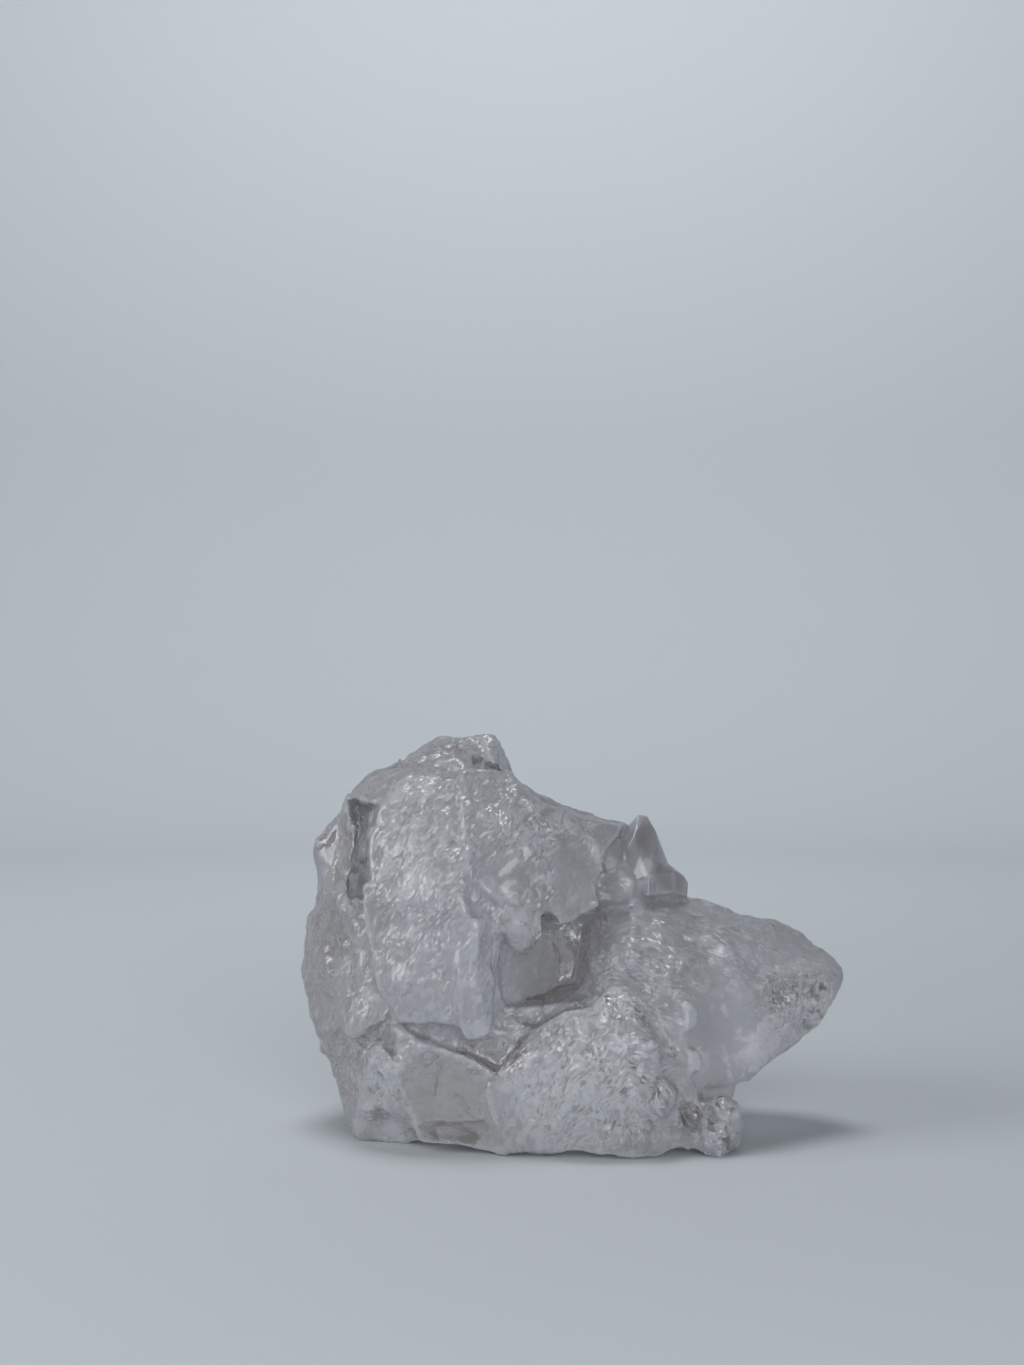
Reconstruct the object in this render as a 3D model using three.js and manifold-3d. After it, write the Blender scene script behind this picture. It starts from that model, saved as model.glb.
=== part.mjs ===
// A rough chunk of clear to milky quartz, about 70 mm wide, resting on a flat floor.
// Millimetres, +Z up, +X to the right, front towards -Y, origin at the middle of the base.
import * as THREE from "three";
import { ConvexGeometry } from "three/addons/geometries/ConvexGeometry.js";
import { ImprovedNoise } from "three/addons/math/ImprovedNoise.js";
import { mergeVertices } from "three/addons/utils/BufferGeometryUtils.js";
import Module from "manifold-3d";

const wasm = await Module();
wasm.setup();

// Where the eye stands when the front is looked at
const EYE = new THREE.Vector3(-7.85, -256, 57.3);

// The broken surface: its longest edge, its slow swell, and the small steps of its chips
const FACET_EDGE = 4.3;
const SWELL = { height: 0.7, length: 8 };
const CHIP = { height: 0.45, length: 4.5 };
const MOST_HALVINGS = 40;

// A crystal's point and the step down of every other face of it, as shares of its radius
const POINT_HEIGHT = 1.25;
const SHOULDER_DROP = 0.35;

// The hollowed clear break at the lower left is scooped by a ball
const SCOOP = { radius: 26, middle: [-17, -42.2, 3] };

const noise = new ImprovedNoise();

// A point that shows at a across and b up on the upright plane y = 0, moved along its sight line to y
function seen([a, b, y]) {
  const depth = y / -EYE.y;
  return new THREE.Vector3(a + (a - EYE.x) * depth, y, b - (EYE.z - b) * depth);
}

// Turns a closed geometry into a solid that can be joined and cut
function solidOf(geometry) {
  geometry.deleteAttribute("normal");
  geometry.deleteAttribute("uv");
  const merged = mergeVertices(geometry, 1e-4);
  return new wasm.Manifold(new wasm.Mesh({
    numProp: 3,
    vertProperties: Float32Array.from(merged.attributes.position.array),
    triVerts: Uint32Array.from(merged.index.array),
  }));
}

function geometryOf(solid) {
  const mesh = solid.getMesh();
  const geometry = new THREE.BufferGeometry();
  geometry.setAttribute("position", new THREE.BufferAttribute(mesh.vertProperties, 3));
  geometry.setIndex(new THREE.BufferAttribute(mesh.triVerts, 1));
  return geometry;
}

function joined(solids) {
  return solids.reduce((whole, next) => whole.add(next));
}

// A block with flat faces: front points as they are seen, hidden ones as x, y, z
function block(front, hidden = []) {
  const points = front.map(seen).concat(hidden.map((p) => new THREE.Vector3(...p)));
  return solidOf(new ConvexGeometry(points));
}

// An upright slab with a free outline, seen at depth y and reaching back to yBack
function slab(outline, y, yFront, yBack) {
  const corners = outline.map(([a, b]) => seen([a, b, y])).map((p) => new THREE.Vector2(p.x, p.z));
  const geometry = new THREE.ExtrudeGeometry(new THREE.Shape(corners), {
    depth: yBack - yFront,
    bevelEnabled: false,
  });
  return solidOf(geometry.rotateX(Math.PI / 2).translate(0, yBack, 0));
}

// A six-sided quartz crystal from root to tip, with a six-faced point
function crystal(root, tip, radius, turn) {
  const axis = tip.clone().sub(root);
  const length = axis.length();
  const shoulder = length - radius * POINT_HEIGHT;
  const points = [new THREE.Vector3(0, 0, length)];
  for (let i = 0; i < 6; i += 1) {
    const angle = turn + (i * Math.PI) / 3;
    const x = radius * Math.cos(angle);
    const y = radius * Math.sin(angle);
    const drop = i % 2 === 0 ? 0 : radius * SHOULDER_DROP;
    points.push(new THREE.Vector3(x, y, 0), new THREE.Vector3(x, y, shoulder - drop));
  }
  const aim = new THREE.Quaternion().setFromUnitVectors(
    new THREE.Vector3(0, 0, 1),
    axis.normalize(),
  );
  points.forEach((p) => p.applyQuaternion(aim).add(root));
  return solidOf(new ConvexGeometry(points));
}

// Bulk of the stone behind its front plates
const core = block(
  [
    [-34.6, 20, 0], [-33.6, 25, 1], [-32.9, 30, 2], [-32.4, 36, 2], [-30, 40.5, 2], [-27.3, 43.8, 0],
    [-33.6, 13.5, -1], [-31, 9, -2], [-8, 44.4, -5], [-1, 39.8, -3], [5, 38, -2], [-26, 41, -3],
    [-27, 20, -5], [-24, 4, -8], [0, 26, -4], [8, 30, -3],
  ],
  [
    [-25, -8, -1], [-24, 5, -1], [-12, 14, -1], [4, 14, -1], [13, 4, -1], [12, -10, -1],
    [-31, 8, 14], [13, 9, 14], [-32, 9, 24], [10, 11, 26], [-27, 11, 39], [-20, 13, 43],
    [-8, 12, 43], [3, 7, 37],
  ],
);

// Hidden back: a tall slanting break with a lower one beside it
const back = joined([
  block([], [
    [-30, 6, 3], [-22, 14, -1], [-6, 19, -1], [-31, 9, 22], [-22, 18, 12], [-23, 20, 25],
    [-6, 23.5, 10], [-9, 23, 26], [-24, 15, 33], [-14, 15.5, 40], [-4, 14, 39], [0, 19, 24],
    [2, 17, 4], [-26, 4, 38], [0, 4, 38], [-24, 0, 2], [2, 0, 0],
  ]),
  block([], [
    [-2, 16, -1], [8, 15.5, -1], [14, 8, -1], [3, 20, 8], [12, 17, 12], [16, 10, 9], [6, 19, 19],
    [14, 12, 20], [2, 12, 28], [11, 8, 27], [0, 2, 2], [14, 0, 2],
  ]),
]);

// Pieces that broke away from the back and left ledges
const backBreaks = joined([
  block([], [
    [-40, 12, 27], [-13, 18.5, 29], [-12, 12, 55], [-40, 6, 52], [-40, 40, 22], [-13, 40, 24],
    [-12, 40, 55], [-40, 40, 52],
  ]),
  block([], [
    [-40, 9, -8], [-19, 15.5, -8], [-17, 17.5, 11], [-40, 10, 14], [-40, 40, -8], [-19, 40, -8],
    [-17, 40, 15], [-40, 40, 16],
  ]),
]);

// Left edge of the top, parted from the front face by a dark slot
const rim = block([
  [-33.1, 36, -3], [-32.8, 37.5, -3], [-31, 38.5, -4], [-30.1, 41.3, -4], [-28.8, 43.2, -4],
  [-28.8, 41, -8], [-28.7, 36, -9.5], [-29, 31, -10], [-29.5, 28, -10], [-32.7, 33.5, -3],
  [-33.2, 29, -3], [-33.9, 25, -3],
  [-33, 36, 3], [-31, 38.5, 3], [-28.5, 43.2, 3], [-33, 29, 3],
]);

// Rough left side, set back from the front face
const flank = block([
  [-35, 20, -3], [-34.2, 24.5, -3], [-33.4, 28, -3], [-34.8, 17, -3.5], [-34.1, 14.5, -4],
  [-33.3, 10.5, -5], [-32, 9.3, -6], [-30.8, 7.5, -7], [-30, 28, -9], [-27.5, 29, -10],
  [-27.3, 20, -13], [-27, 13, -14], [-28, 11, -13.5], [-34.5, 20, 4], [-33, 28, 4], [-31, 9, 4],
  [-25, 27.5, -12], [-24.5, 18, -15], [-23.5, 14.2, -16], [-23, 12, -15],
]);

// Broad pale face that fills the left half of the front
const frontFace = block([
  [-25.2, 41.4, -11], [-26, 34, -13.5], [-26.8, 26, -15], [-26.4, 19, -16], [-24.2, 14.3, -16.5],
  [-22.3, 41.1, -12], [-19.5, 42.6, -12.3], [-16, 44.7, -11.8], [-12, 45.2, -11], [-8, 44.7, -9],
  [-19, 32, -17], [-19.5, 22, -18.5], [-18, 13, -18.5],
  [-14, 36, -16.5], [-13.6, 27, -18.5], [-13, 13, -18.5],
  [-9.5, 14, -15], [-9, 24, -16.5],
  [-26.4, 41, -7], [-26.6, 35, -8], [-25, 41, -2], [-26, 20, -2], [-22, 13, -2], [-8, 15, -2],
  [-8, 44.6, -2],
]);

// Plate at the upper right of that face, whose thin lower edge overhangs a hollow
const plateOutline = [
  [-15, 24], [-15, 46], [-8, 46], [-7.4, 44.6], [-4.2, 42], [-3.6, 41], [-1, 40.3], [3.1, 39.2],
  [6.8, 38.2], [6.2, 37], [4.6, 35.2], [4, 34], [2.8, 32.8], [2.7, 31.5], [2.9, 30.2], [3.4, 28.8],
  [3.2, 28.2], [2.4, 27.9], [1.2, 27.5], [0.4, 26.6], [-1.7, 26.2], [-2.2, 27.1], [-3.5, 27.8],
  [-6, 27.4], [-8, 25],
];
const plate = block([
  [-15, 46, -12], [-8, 46, -10.5], [-4.2, 43, -9.5], [-1, 41, -8.5], [2.7, 40, -8],
  [7, 39, -6], [4.6, 35, -11], [4, 31, -12.5], [4, 28, -12.8], [0.7, 26, -13.5],
  [-2, 25.6, -14.5], [-5, 26, -15.5], [-8.5, 25, -16.5], [-13.6, 25, -18.3], [-14, 36, -17],
  [-6, 36, -15], [-8, 46, -2], [6.5, 39, -1], [4.6, 34, -5], [3, 28, -9.5], [-8, 25, -10],
]).intersect(slab(plateOutline, -12, -30, 0));

// Rough ground between the plate and the crystals on top
const crystalSeat = block([
  [2.5, 33.5, -8], [4.2, 35.5, -7], [6.6, 37.2, -3.5], [7.5, 33, -8], [4, 31.5, -9.5], [6.4, 31.6, -10],
  [7.8, 30.8, -10.3], [7.2, 28.8, -10], [3.4, 28.6, -8.5], [5.2, 30, -10.2], [8, 35, -2], [2, 38, -2],
  [9, 29, -8], [2, 28, -2], [12, 29, -2], [7.4, 37.6, -2], [7.4, 37.4, 2], [3, 38.4, 2], [3, 29, 4],
  [9, 30, 4], [5, 37.6, -5],
]);

// Small rounded lump under the plate
const lobe = block([
  [-8.8, 26.5, -17], [-7.8, 28.5, -16.8], [-5.8, 28.4, -16.4], [-4.2, 26.8, -15.4],
  [-3.9, 24.4, -15], [-4.9, 22.6, -15.2], [-6.4, 21.8, -15.6], [-8.2, 23, -16.8], [-7, 26, -17.8],
  [-5.6, 24.4, -17],
  [-8.6, 26, -10], [-5, 27, -10], [-5.5, 23, -10],
]);

// Slab with an arched top that runs down into a pale tongue
const tongue = block([
  [-15.6, 24.8, -18.4], [-14, 26, -18.6], [-12.3, 26.7, -18.6], [-11, 26.3, -18.3], [-10.2, 24.5, -17.6],
  [-10.3, 16.5, -17.8], [-10.1, 13.3, -18], [-10.5, 12.1, -18.3], [-11.3, 11.3, -18.5],
  [-12.8, 10.8, -19], [-13.7, 11, -19], [-14.2, 12, -19.2], [-15.3, 16, -19.4], [-12.5, 18, -19.4],
  [-15, 24, -12], [-10.5, 24, -12], [-10.5, 13, -12], [-14, 12, -12],
]);

// Wall of the hollow, a flat face of a buried crystal
const wall = block([
  [-7.5, 27, -7], [-6.2, 22, -7.5], [-6, 17, -9], [-0.2, 17.5, -6.5], [0.2, 26.5, -5],
  [-9, 23, -13], [-9, 15, -13], [-8, 28, 0], [1, 28, 0], [1, 16, 0], [-9, 15, 0],
]);

// Floor of the hollow and the shelf below the front face
const ledge = block(
  [
    [-23.8, 13.5, -15.5], [-9.5, 12.6, -14.5], [-6, 15.5, -9.5], [-2, 16.3, -9], [0, 18, -8],
    [-6, 11, -14.5], [-8, 5, -15.5], [0, 12, -15], [4, 16, -13], [-22, 5, -15], [-20, 0, -14.5],
  ],
  [[-21, -12, 0.8], [8, -14, 0.8], [-20, 2, 1], [8, 4, 1], [-20, 0, 16], [4, 0, 20]],
);

// Lower left: a sill that carries a smooth, hollowed, clear break
const windowScoop = new THREE.SphereGeometry(SCOOP.radius, 32, 20)
  .rotateX(Math.PI / 2)
  .translate(...SCOOP.middle);
const sill = block(
  [
    [-23.6, 13, -16.5], [-21.5, 10.7, -18], [-18.5, 9.8, -18.8], [-15, 8.5, -19.2], [-12, 7.8, -19.2],
    [-10, 6.3, -19], [-9, 4.6, -18.5], [-22.6, 6, -17], [-20.8, 1, -16.5], [-20, -2.4, -16],
    [-15, -3, -17], [-8.2, -3.6, -17.6], [-9.5, 1, -18.4],
  ],
  [[-20, -4, 1.2], [-8, -4, 1.2], [-20, -4, 9], [-8, -4, 9]],
).subtract(solidOf(windowScoop));

// Lower middle: the part that stands out furthest
const bulge = joined([
  block(
    [
      [-6.5, 11.6, -17.5], [-4.5, 13.2, -17.6], [-1, 14.4, -17.5], [1.5, 15, -17], [-5.5, 9.5, -19],
      [-5.7, 6.5, -19.2], [-11.4, 4, -18.3], [-10.6, 1, -18.4], [-9, -1.5, -18.2], [-1, 9, -20.3],
      [4, 10, -20], [8.3, 13, -18.5], [9, 10, -19.3], [3, 4, -21], [8, 4, -20.5], [10, 1, -19.8],
      [-8.4, -3.4, -17.4], [-5, -3.0, -18], [0, -3.5, -19], [5, -3.8, -19.3], [9.5, -4.0, -19],
    ],
    [[-10, -4, 1.2], [10, -4, 0.6], [-4, -4, 14], [8, -4, 14]],
  ),
  block(
    [
      [1.5, 14.5, -17], [3.3, 16, -16.5], [5, 17.5, -16], [7.2, 16.5, -16.5], [7, 14, -18],
      [3.6, 14, -17.6], [9.5, 12, -17.8], [10.5, 8, -19.2], [12.5, 8, -18.4], [9, 4, -20], [8.5, 0, -19.9],
      [13.8, 4, -18], [13, 0, -17.6], [16.5, -1, -16.6],
      [18, -3.8, -17.2], [18, -1.5, -16.4], [10, -4.2, -18.6], [15, 8, -17],
    ],
    [[2, -4, 14], [15, -4, 10], [16, -4, 0.2], [4, -4, 0.5]],
  ),
]);

// Horn that juts out to the right
const horn = joined([
  block(
    [
      [0.6, 26.8, -5], [0.6, 19, -7.5], [2, 16, -11], [7.5, 28.8, -9], [13, 26.3, -11.5],
      [17, 25, -11.5], [22, 23.2, -10.5], [27, 21.6, -9], [31, 20.9, -7], [34, 20.5, -4.5],
      [4, 18, -15], [8, 21, -16.3], [13, 18, -17.2], [14.5, 12, -17.4], [24, 17, -13.5],
      [24, 9, -12.5], [21, 5, -12.5], [14.5, 5, -17.0],
      [35.1, 19, -2], [34.9, 17.5, -2], [33.5, 14.3, -3], [31.5, 12, -5], [28, 9.8, -7.5],
      [25.3, 7.3, -9], [22.5, 5.7, -10.5], [14.8, 29.7, -1], [19, 27.5, -1], [24, 26, -1],
      [28, 25.1, -1], [31, 23.8, -1], [33.5, 21.9, -1], [35, 20.2, -1.5],
    ],
    [[8, 12, 28], [20, 9, 24], [29, 6, 20], [32, 3, 17], [26, 7, 12], [4, 8, 24]],
  ),
  block(
    [[13, 6, -16.5], [21, 5.2, -12], [16, -1, -15.5], [20, 2, -12]],
    [[10, -8, 0.5], [18, -6, 1], [22, 4, 10], [16, 9, 2], [6, 8, 0.5], [10, 10, 20], [20, 8, 18]],
  ),
]);

// Left foot, one of the places where the stone touches the floor
const leftFoot = block(
  [
    [-28.8, 1, -7.5], [-28.5, -0.5, -9], [-27.8, -2.1, -10], [-23, -2.4, -10.5], [-21.3, -1.8, -11],
    [-21.5, 3.5, -14], [-23, 7.3, -16], [-25, 10.3, -16], [-26.5, 10.3, -15], [-29, 4, -9],
    [-30.5, 6.5, -7], [-31.5, 9, -6],
  ],
  [[-28, -6, -1], [-21, -10.5, -1], [-22, 0, -1], [-29, 0, 6], [-20, 0, 12], [-27.5, -10, -1]],
);

// Pale rough rib between the left foot and the smooth break, and the flat facet above it
const rib = joined([
  block([
    [-26.8, 10, -15.6], [-25, 10.8, -16.6], [-23.7, 9.3, -17.6], [-23, 7.3, -17.8], [-22.3, 5.2, -17.4],
    [-21.2, 2.2, -16.8], [-20.8, -0.6, -15.6], [-23.6, 3, -15.6], [-26, 3, -14], [-27.2, 7, -14.4],
    [-25, 6, -9], [-21, 3, -11], [-22, -1, -11],
  ]),
  block([
    [-27, 18.4, -13.6], [-25.7, 17.4, -15], [-23.9, 14.2, -17], [-24.3, 13.5, -17], [-26.8, 12.6, -15.6],
    [-28.2, 11.2, -14.8], [-29.7, 11.4, -13.4], [-30.6, 12.6, -12.2], [-29.5, 14.6, -12.4],
    [-27, 17, -8], [-24, 13, -10], [-29, 12, -7],
  ]),
]);

// Flakes that stand a little proud of the right half of the front
const flakes = joined([
  block([
    [14.4, 15.6, -17.9], [15.3, 15.9, -17.6], [16.4, 14.4, -17.2], [16.2, 12.6, -17.4], [14.7, 12, -18.2],
    [14.5, 14, -18.4], [15, 14, -14],
  ]),
  block([
    [14.8, 9.6, -18], [16, 9.9, -17.6], [17, 8.6, -17.2], [16.8, 6.8, -17.4], [15.2, 6.4, -18],
    [15, 8, -18.3], [16, 8, -14],
  ]),
  block([
    [8.8, 9.2, -20.2], [9.4, 8.7, -20.2], [11, 9.6, -19.6], [10.8, 10.4, -19.4], [9.5, 10.3, -19.6],
    [9.8, 9.6, -20.4], [10, 9.5, -16],
  ]),
  block([
    [-12.2, 31.7, -17.4], [-10, 30.6, -17], [-8.9, 29.7, -16.8], [-8.1, 29.2, -16.6], [-8.6, 28.8, -17],
    [-10.2, 29.1, -17.6], [-10, 30, -18], [-10.5, 30, -12],
  ]),
]);

// Pale step between the front face and the top
const shoulder = block([
  [-29.5, 42.6, -3], [-29, 43.3, -2], [-27.3, 44.6, -2], [-26, 45.5, -1], [-25.2, 41.8, -10.5],
  [-22.3, 41.5, -11.8], [-18.5, 44, -11], [-21, 45.2, -9], [-14, 45.1, -9.5], [-8, 45.1, -7],
  [-23.5, 46.4, 0], [-20, 47.6, 1], [-8, 45.4, 5], [-25, 40, 0], [-10, 40, 0],
]);

// Two lumps that form the top
const knob = joined([
  block(
    [
      [-22.5, 46.9, 1], [-20, 48.6, 2], [-18, 50.1, 3], [-16.5, 50.1, 4], [-13, 49.6, 5],
      [-20.2, 47.2, -2], [-17.7, 47, -4], [-14.6, 45.8, -6], [-13.8, 45.1, -6], [-15.2, 47.5, -3.5],
      [-13, 48, -1],
    ],
    [[-19, 11, 47], [-13, 12, 47.5], [-20, 8, 42], [-12, 10, 42]],
  ),
  block(
    [
      [-13.2, 49.5, 3], [-12, 50, 2.5], [-11, 50.2, 3], [-10, 49.9, 3], [-9, 48.8, 3], [-8, 46.2, 3],
      [-8.2, 45.6, 2], [-10.6, 48, 0], [-9, 45.2, -1], [-13, 47.5, 1.5],
    ],
    [[-13, 10, 49], [-9, 9, 46], [-12, 10, 42], [-7, 8, 42], [-17, 3, 42], [-8, 2, 42]],
  ),
]);

// Deep dark gaps, cut after the surface is broken
const gaps = joined([
  block([
    [-28.8, 41.2, -14], [-26.9, 41.4, -14], [-26.7, 36.5, -14], [-27.6, 35, -14],
    [-28.4, 40.8, -7.5], [-27.2, 41, -7.5], [-27.2, 36.5, -8.5], [-27.6, 35.8, -8.5],
  ]),
  block([
    [-28.2, 37, -14], [-26.7, 37.4, -14], [-26.6, 32.2, -16], [-27.6, 31.5, -14],
    [-27.8, 36, -9], [-27, 36, -9], [-27, 32.8, -10.5], [-27.4, 32.6, -10.5],
  ]),
  block([
    [-31.2, 31, -12], [-29.9, 28.6, -14], [-29, 27.8, -14], [-29.2, 29.5, -14],
    [-30.6, 31, -2], [-29.8, 29.5, -4],
  ]),
  block([
    [-18.2, 44.7, -14], [-14.2, 45.3, -14], [-14, 45.0, -14], [-18.4, 43.9, -14],
    [-18, 44.9, -9], [-14.5, 45.3, -9], [-14.5, 45.2, -9], [-18, 44.4, -9],
  ]),
  block([
    [-13.6, 45.2, -9], [-8.6, 45.2, -6], [-10.2, 47.2, -4], [-12.3, 47.6, -4], [-13.6, 46, -4],
    [-12, 46, 4], [-9, 45.5, 4],
  ]),
  block([
    [-20.2, 46.5, -4], [-18.6, 47.2, -4], [-17.6, 46.5, -5], [-19.6, 46.2, -5],
    [-19.6, 46.7, 0], [-18.2, 46.7, 0],
  ]),
  block([
    [-0.4, 26.5, -9], [0.5, 26.6, -9], [0.3, 20.5, -10], [0.1, 20.5, -10], [0.1, 26, -3], [0.2, 21, -3],
  ]),
  block([
    [13.4, 4, -20], [16.2, 3.4, -20], [17.2, 0.6, -20], [16.4, -1.6, -20], [13.2, -1.2, -20],
    [14.6, 2, -16], [16.4, 1.6, -15.2], [16.2, -0.6, -15.6],
  ]),
]);

const floor = solidOf(new THREE.BoxGeometry(200, 200, 40).translate(0, 0, -20));

// Areas that stay smooth: where they are and how far they reach
const calm = [
  { centre: seen([-16, 3, -17]), reach: 8 },
  { centre: seen([19, 12, -14.5]), reach: 7 },
];

function calmness(point) {
  const gaps = calm.map(({ centre, reach }) => point.distanceTo(centre) / reach);
  return THREE.MathUtils.smoothstep(Math.min(...gaps), 0.7, 1.2);
}

// A fixed random number from -1 to 1 for each cell of a grid
function cellValue(i, j, k, channel) {
  const wave = Math.sin(i * 127.1 + j * 311.7 + k * 74.7 + channel * 53.9) * 43758.5453;
  return 2 * (wave - Math.floor(wave)) - 1;
}

// Shift of the chip that a point belongs to: chips are the cells around scattered seeds
function chipShift(point) {
  const home = point.clone().divideScalar(CHIP.length).floor();
  const shift = new THREE.Vector3();
  let nearest = Infinity;
  for (let n = 0; n < 27; n += 1) {
    const i = home.x + (n % 3) - 1;
    const j = home.y + (Math.floor(n / 3) % 3) - 1;
    const k = home.z + Math.floor(n / 9) - 1;
    const seed = new THREE.Vector3(
      i + 0.5 + 0.45 * cellValue(i, j, k, 1),
      j + 0.5 + 0.45 * cellValue(i, j, k, 2),
      k + 0.5 + 0.45 * cellValue(i, j, k, 3),
    ).multiplyScalar(CHIP.length);
    const gap = seed.distanceToSquared(point);
    if (gap < nearest) {
      nearest = gap;
      shift.set(cellValue(i, j, k, 4), cellValue(i, j, k, 5), cellValue(i, j, k, 6));
    }
  }
  return shift.multiplyScalar(CHIP.height);
}

function swellShift({ x, y, z }) {
  const l = SWELL.length;
  return new THREE.Vector3(
    noise.noise(x / l, y / l, z / l + 0.5),
    noise.noise(y / l + 7.3, z / l, x / l + 0.5),
    noise.noise(z / l + 3.1, x / l + 5.7, y / l + 0.5),
  ).multiplyScalar(SWELL.height);
}

// Halves the longest edges until none is longer than the limit; neighbours share the new points
function refine(geometry, limit) {
  const points = [];
  const { position } = geometry.attributes;
  for (let i = 0; i < position.count; i += 1) {
    points.push(new THREE.Vector3().fromBufferAttribute(position, i));
  }
  let triangles = [];
  const index = geometry.index.array;
  for (let i = 0; i < index.length; i += 3) {
    triangles.push([index[i], index[i + 1], index[i + 2]]);
  }
  const key = (p, q) => (p < q ? `${p},${q}` : `${q},${p}`);
  for (let pass = 0; pass < MOST_HALVINGS; pass += 1) {
    const middles = new Map();
    for (const triangle of triangles) {
      let longest = limit;
      let edge = null;
      for (let s = 0; s < 3; s += 1) {
        const p = triangle[s];
        const q = triangle[(s + 1) % 3];
        const length = points[p].distanceTo(points[q]);
        if (length > longest) {
          longest = length;
          edge = [p, q];
        }
      }
      if (edge && !middles.has(key(...edge))) {
        middles.set(key(...edge), points.length);
        points.push(points[edge[0]].clone().lerp(points[edge[1]], 0.5));
      }
    }
    if (middles.size === 0) {
      break;
    }
    triangles = triangles.flatMap((triangle) => splitTriangle(triangle, middles, key));
  }
  return { points, triangles };
}

// The two, three or four triangles that a triangle with halved edges falls into
function splitTriangle([p, q, r], middles, key) {
  const pq = middles.get(key(p, q));
  const qr = middles.get(key(q, r));
  const rp = middles.get(key(r, p));
  if (pq === undefined && qr === undefined && rp === undefined) {
    return [[p, q, r]];
  }
  if (pq === undefined) {
    return splitTriangle([q, r, p], middles, key);
  }
  if (qr === undefined && rp === undefined) {
    return [[p, pq, r], [pq, q, r]];
  }
  if (rp === undefined) {
    return [[pq, q, qr], [p, pq, qr], [p, qr, r]];
  }
  if (qr === undefined) {
    return [[p, pq, rp], [pq, q, r], [pq, r, rp]];
  }
  return [[p, pq, rp], [pq, q, qr], [rp, qr, r], [pq, qr, rp]];
}

// The broken surface of a solid: refined, then swelled and chipped
function weathered(solid) {
  const { points, triangles } = refine(geometryOf(solid), FACET_EDGE);
  for (const point of points) {
    const shift = swellShift(point).add(chipShift(point)).multiplyScalar(calmness(point));
    point.add(shift);
  }
  return new wasm.Manifold(new wasm.Mesh({
    numProp: 3,
    vertProperties: Float32Array.from(points.flatMap((p) => p.toArray())),
    triVerts: Uint32Array.from(triangles.flat()),
  }));
}

const body = joined([
  core, back, rim, flank, frontFace, plate, lobe, tongue, wall, ledge, sill, bulge, horn, leftFoot,
  shoulder, knob, crystalSeat, rib, flakes,
]);
const broken = weathered(body.subtract(backBreaks)).subtract(gaps);

// Clear crystals with flat faces on top of the stone
const topPoint = block([
  [8.6, 40, -3.5], [9.6, 39.9, -3.5], [6.8, 38.1, -4], [8, 37.3, -6.3], [7.3, 36, -7.3], [5.6, 34, -6.5],
  [7.4, 33, -8.3], [8.8, 34.8, -8], [10.3, 34.3, -7.6], [9.8, 32.3, -8.6], [7.6, 31.5, -8.8],
  [10.7, 38, -4.5], [11, 36.2, -5.6], [11.1, 35, -6], [10.6, 33.6, -7],
  [12, 34.4, -3], [12.3, 33.9, -1], [11, 36.8, -2.5], [8.8, 39.5, -1.5], [6.2, 36, -1],
  [5.5, 30, -2], [12, 30, -1], [7, 29.5, -8],
]);
const topBlock = block([
  [10.5, 32.3, -6.4], [12.3, 33.8, -4.4], [14.4, 32.1, -3.8], [14.9, 31.2, -3.8], [14.8, 29.6, -3.8],
  [13.2, 32.7, -6], [13.2, 30.1, -7], [10.6, 32.3, -7.2], [10.6, 29.8, -8], [12, 33.6, -1],
  [14.6, 31.8, -1], [14.8, 29.5, -1], [10.6, 29, -2],
]);
const topStub = block([
  [9.1, 31.2, -9], [9.2, 29.8, -9.2], [9.8, 32.3, -8.6], [10.6, 32.2, -8.2], [10.7, 29.8, -9],
  [9.9, 31.7, -9.8], [9.8, 29.7, -10.2], [9.2, 29, -6], [10.7, 29, -6],
]);
const leftPoint = block([
  [4.3, 34.2, -8.5], [5.2, 36.9, -7.2], [6.1, 37, -6.8], [6.3, 35.4, -7.5], [5.5, 33.4, -9.2],
  [4.4, 33, -9], [4, 30, -4], [8, 30, -4], [6.5, 36.5, -3], [4.5, 36.3, -5],
]);

// Small crystals that stand on the ledge at the back
const backCrystals = joined([
  crystal(new THREE.Vector3(-20, 11, 26), new THREE.Vector3(-21.5, 18.5, 38.5), 3.4, 0.3),
  crystal(new THREE.Vector3(-16, 14, 26), new THREE.Vector3(-15, 20.5, 34.5), 2.3, 0.9),
  crystal(new THREE.Vector3(-25.5, 9, 25), new THREE.Vector3(-28.5, 13.5, 33.5), 2.1, 0.1),
  crystal(new THREE.Vector3(9, 5, 20), new THREE.Vector3(14, 11, 31.5), 2.8, 0.5),
]);

// Clear crystal at the right foot, and the one that bulges from the front beside it
const footCrystal = block([
  [17.6, 2.9, -16.8], [18.5, 3.4, -16.4], [19.8, 3.6, -16], [20.4, 3.4, -15.8], [21.3, 2.9, -15.6],
  [22, 1.7, -15.6], [22.1, 0, -15.6], [21.8, -2.3, -15.8], [21.5, -2.9, -16], [20.3, -3.6, -16.8],
  [18, 2, -17.8], [20.2, 2.5, -17.6], [21.2, 2.2, -17], [17.2, 1.5, -17.4], [16.9, -1, -17.6],
  [17.2, -3.9, -17.8], [19.2, -4.2, -17.6], [20, -2, -18.2], [18, -2.5, -18.6], [19.6, 0, -18.4],
  [18, 3, -12], [21.5, 2.5, -12], [21.8, 0, -12], [21, -3, -12], [17, -4, -12],
]);
const sideCrystal = block([
  [9.6, 3, -19.6], [10, 4.6, -19.4], [11.9, 6.1, -18.8], [12.4, 5.6, -18.6], [13.6, 4.5, -18.2],
  [13.6, 4, -18.2], [13, 2.2, -18.4], [12.3, 0.7, -18.8], [11, 0.8, -19.4], [9.8, 2, -19.8],
  [11, 4.7, -20.6], [12.1, 5.2, -20.2], [13, 4.2, -19.6], [12.4, 2, -20.4], [10.8, 2.6, -21],
  [10, 3, -15], [13.4, 4.5, -15], [12.5, 1, -15],
]);

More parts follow.
